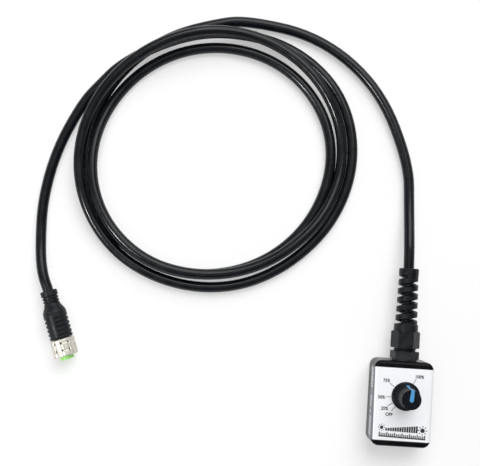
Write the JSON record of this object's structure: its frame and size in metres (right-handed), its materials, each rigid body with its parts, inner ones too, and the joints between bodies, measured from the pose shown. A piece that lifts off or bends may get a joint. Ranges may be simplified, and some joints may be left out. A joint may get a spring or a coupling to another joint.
{
  "type": "grow light dimmer",
  "caption": "Inline rotary dimmer: small case with a pointer knob and dial, spiral cable gland, coiled round cord and a round screw-on plug.",
  "frame": {"origin": "centre of the case's back face", "axes": "+Z out of the dial face, +Y from the case towards the cable gland, +X to the right when the dial is read"},
  "size_m": [0.2441, 0.2536, 0.0374],
  "materials": {
    "case_plastic": "fine textured black ABS with a soft sheen",
    "screw_steel": "blackened steel",
    "label_film": "satin printed film",
    "zinc_plate": "bright zinc plated steel",
    "resin_board": "brown laminated resin",
    "tinned_brass": "tinned brass",
    "rotor_plastic": "moulded black plastic",
    "shaft_metal": "turned light metal",
    "knob_plastic": "satin black plastic",
    "pointer_blue": "satin pale blue plastic",
    "gasket_rubber": "black rubber",
    "gland_nylon": "black nylon with a soft sheen",
    "seal_rubber": "black rubber",
    "cord_jacket": "smooth black soft plastic with a long soft highlight",
    "wire_red": "red wire insulation",
    "wire_white": "white wire insulation",
    "wire_black": "black wire insulation",
    "sleeve_plastic": "shrunk black sleeve",
    "plug_plastic": "satin black overmoulding",
    "nickel_plate": "satin nickel plated brass",
    "insert_green": "bright green moulded plastic",
    "contact_gold": "gold plated"
  },
  "bodies": {
    "unit": {"enclosure_body": "case_plastic", "enclosure_lid": "case_plastic", "lid_screws": "screw_steel", "face_label": "label_film", "pot_cover": "zinc_plate", "pot_can": "zinc_plate", "pot_track": "resin_board", "pot_terminals": "tinned_brass", "pot_washer": "zinc_plate", "pot_nut": "zinc_plate", "gland_gasket": "gasket_rubber", "gland_body": "gland_nylon", "gland_locknut": "gland_nylon", "gland_seal": "seal_rubber", "spiral_nut": "gland_nylon", "cable_in_gland": "cord_jacket", "wire_red": "wire_red", "wire_white": "wire_white", "wire_black": "wire_black", "wire_sleeves": "sleeve_plastic", "cable_gland_lead": "cord_jacket", "cable_coil": "cord_jacket", "cable_plug_lead": "cord_jacket", "plug_overmould": "plug_plastic", "plug_carrier": "plug_plastic", "contact_insert": "insert_green", "contact_sockets": "contact_gold", "plug_oring": "seal_rubber"},
    "dial": {"knob": "knob_plastic", "knob_pointer": "pointer_blue", "pot_shaft": "shaft_metal", "pot_wiper": "rotor_plastic"},
    "coupling_ring": {"coupling_nut": "nickel_plate"}
  },
  "joints": [
    {"name": "dial_turn", "type": "hinge", "parent": "unit", "child": "dial", "pos_m": [0.0014, 0.0048, 0.03], "axis": [0, 0, 1], "range_deg": [-136, 144]},
    {"name": "coupling_turn", "type": "hinge", "parent": "unit", "child": "coupling_ring", "pos_m": [-0.2024, 0.0193, 0.0073], "axis": [0.3465, -0.938, 0], "continuous": true}
  ]
}
